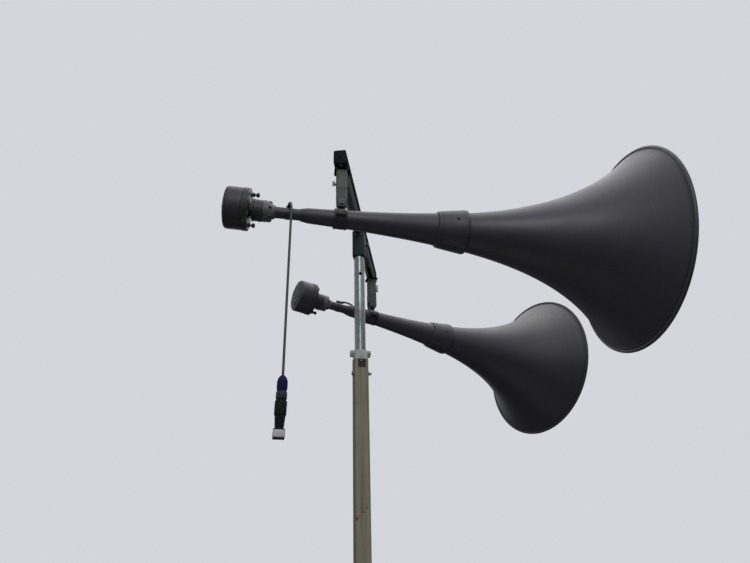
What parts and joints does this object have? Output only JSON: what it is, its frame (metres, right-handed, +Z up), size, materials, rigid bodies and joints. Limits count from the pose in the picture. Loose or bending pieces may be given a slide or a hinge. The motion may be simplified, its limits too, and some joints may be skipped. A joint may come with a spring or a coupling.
{
  "type": "telescopic horn loudspeaker mast",
  "caption": "Telescopic steel mast with a turning crossbeam that carries long exponential warning horns on tilting, swivelling hangers.",
  "frame": {"origin": "mast axis at the underside of the base plate", "axes": "+Z up the mast, +X the way the horns aim, square to the lower tube's side faces, +Y to the far horn's side"},
  "size_m": [2.0431, 2.1956, 3.1219],
  "materials": {
    "olive_paint": "matte olive drab paint, scuffed",
    "rusty_steel": "rusty",
    "zinc": "dull zinc plate",
    "galvanised": "hot-dip galvanised, satin",
    "dark_plastic": "matte black",
    "slate_paint": "satin blue-black paint",
    "hanger_paint": "matte grey-olive paint",
    "band_paint": "satin blue-grey paint",
    "horn_shell": "matte charcoal glass fibre",
    "rim_rubber": "matte black edge trim",
    "block_paint": "matte olive paint",
    "adapter_paint": "satin blue-grey paint",
    "driver_paint": "satin black paint",
    "lead_rubber": "matte black rubber",
    "connector_shell": "matte plastic, blue ferrule over a black body"
  },
  "bodies": {
    "post": {"base_plate": "olive_paint", "base_gussets": "olive_paint", "lower_tube": "olive_paint", "guide_bush": "rusty_steel", "clamp_collar": "olive_paint", "clamp_screws": "zinc"},
    "sliding_tube": {"upper_tube": "galvanised", "tube_foot": "dark_plastic"},
    "head": {"head_socket": "slate_paint", "head_knob": "dark_plastic", "crossbeam": "slate_paint", "beam_caps": "dark_plastic", "near_sleeve": "hanger_paint", "far_sleeve": "hanger_paint", "near_thumb_screw": "zinc", "far_thumb_screw": "zinc"},
    "near_swivel": {"near_clevis": "hanger_paint", "near_tilt_bolt": "zinc"},
    "near_horn": {"near_band": "band_paint", "near_neck": "horn_shell", "near_collar": "horn_shell", "near_bell": "horn_shell", "near_rim": "rim_rubber", "near_throat_block": "block_paint", "near_adapter": "adapter_paint", "near_driver": "driver_paint", "near_driver_posts": "dark_plastic", "near_gland": "dark_plastic", "near_lead": "lead_rubber", "near_connector": "connector_shell"},
    "far_swivel": {"far_clevis": "hanger_paint", "far_tilt_bolt": "zinc"},
    "far_horn": {"far_band": "band_paint", "far_neck": "horn_shell", "far_collar": "horn_shell", "far_bell": "horn_shell", "far_rim": "rim_rubber", "far_throat_block": "block_paint", "far_adapter": "adapter_paint", "far_driver": "driver_paint", "far_driver_posts": "dark_plastic", "far_gland": "dark_plastic", "far_lead": "lead_rubber", "far_connector": "connector_shell"}
  },
  "joints": [
    {"name": "mast_slide", "type": "slide", "parent": "post", "child": "sliding_tube", "axis": [0, 0, 1], "range_m": [-0.46, 0.46]},
    {"name": "head_turn", "type": "hinge", "parent": "sliding_tube", "child": "head", "pos_m": [0, 0, 3.015], "axis": [0, 0, 1], "range_deg": [-180, 180]},
    {"name": "near_pan", "type": "hinge", "parent": "head", "child": "near_swivel", "pos_m": [-0.17169, -0.47173, 2.85], "axis": [0, 0, 1], "range_deg": [-40, 10]},
    {"name": "near_tilt", "type": "hinge", "parent": "near_swivel", "child": "near_horn", "pos_m": [-0.17169, -0.47173, 2.85], "axis": [-0.108, -0.9942, 0], "range_deg": [-20, 18]},
    {"name": "far_pan", "type": "hinge", "parent": "head", "child": "far_swivel", "pos_m": [0.17169, 0.47173, 2.85], "axis": [0, 0, 1], "range_deg": [-14, 32]},
    {"name": "far_tilt", "type": "hinge", "parent": "far_swivel", "child": "far_horn", "pos_m": [0.17169, 0.47173, 2.85], "axis": [0.2639, -0.9646, 0], "range_deg": [-16, 21]}
  ]
}
